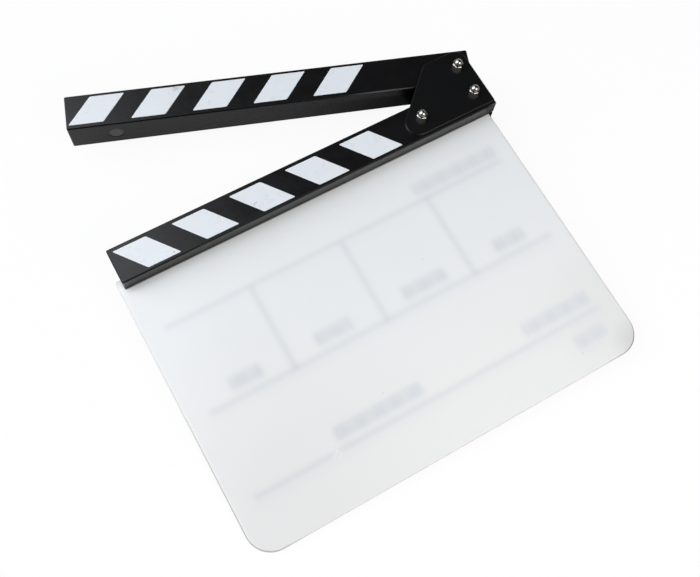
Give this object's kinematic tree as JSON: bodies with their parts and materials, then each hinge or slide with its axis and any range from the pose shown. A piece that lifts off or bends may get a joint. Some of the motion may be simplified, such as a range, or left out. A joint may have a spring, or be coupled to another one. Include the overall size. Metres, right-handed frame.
{
  "type": "clapperboard",
  "caption": "Clapperboard with a milky acrylic writing board, a grooved lower stick and a striped upper clap stick hinged between two plates.",
  "frame": {"origin": "middle of the board's bottom edge, half way through its thickness", "axes": "+X along the sticks to the hinge, +Y from the bottom edge to the sticks, +Z out of the back"},
  "size_m": [0.3086, 0.3523, 0.0403],
  "materials": {
    "milky_acrylic": "milky, smooth",
    "black_painted_wood": "satin black paint",
    "white_vinyl": "smooth white film",
    "black_painted_metal": "semi-gloss black",
    "nickel_plate": "bright plating",
    "plain_steel": "turned",
    "magnet_grey": "dull grey",
    "nylon": "natural"
  },
  "bodies": {
    "slate": {"hinge_plate_back": "black_painted_metal", "hinge_plate_front": "black_painted_metal", "inner_plate_bolt": "nickel_plate", "inner_plate_cap_nut": "nickel_plate", "lower_magnet": "magnet_grey", "lower_stick": "black_painted_wood", "lower_stripe_back_1": "white_vinyl", "lower_stripe_back_2": "white_vinyl", "lower_stripe_back_3": "white_vinyl", "lower_stripe_back_4": "white_vinyl", "lower_stripe_back_5": "white_vinyl", "lower_stripe_front_1": "white_vinyl", "lower_stripe_front_2": "white_vinyl", "lower_stripe_front_3": "white_vinyl", "lower_stripe_front_4": "white_vinyl", "lower_stripe_front_5": "white_vinyl", "outer_plate_bolt": "nickel_plate", "outer_plate_cap_nut": "nickel_plate", "pivot_bolt": "nickel_plate", "pivot_bush": "plain_steel", "pivot_cap_nut": "nickel_plate", "pivot_washer_back": "nylon", "pivot_washer_front": "nylon", "writing_board": "milky_acrylic"},
    "clap_arm": {"upper_magnet": "magnet_grey", "upper_stick": "black_painted_wood", "upper_stripe_back_1": "white_vinyl", "upper_stripe_back_2": "white_vinyl", "upper_stripe_back_3": "white_vinyl", "upper_stripe_back_4": "white_vinyl", "upper_stripe_back_5": "white_vinyl", "upper_stripe_front_1": "white_vinyl", "upper_stripe_front_2": "white_vinyl", "upper_stripe_front_3": "white_vinyl", "upper_stripe_front_4": "white_vinyl", "upper_stripe_front_5": "white_vinyl"}
  },
  "joints": [
    {"name": "clap_hinge", "type": "hinge", "parent": "slate", "child": "clap_arm", "pos_m": [0.144, 0.24255, 0], "axis": [0, 0, -1], "range_deg": [-19.5, 80.5]}
  ]
}
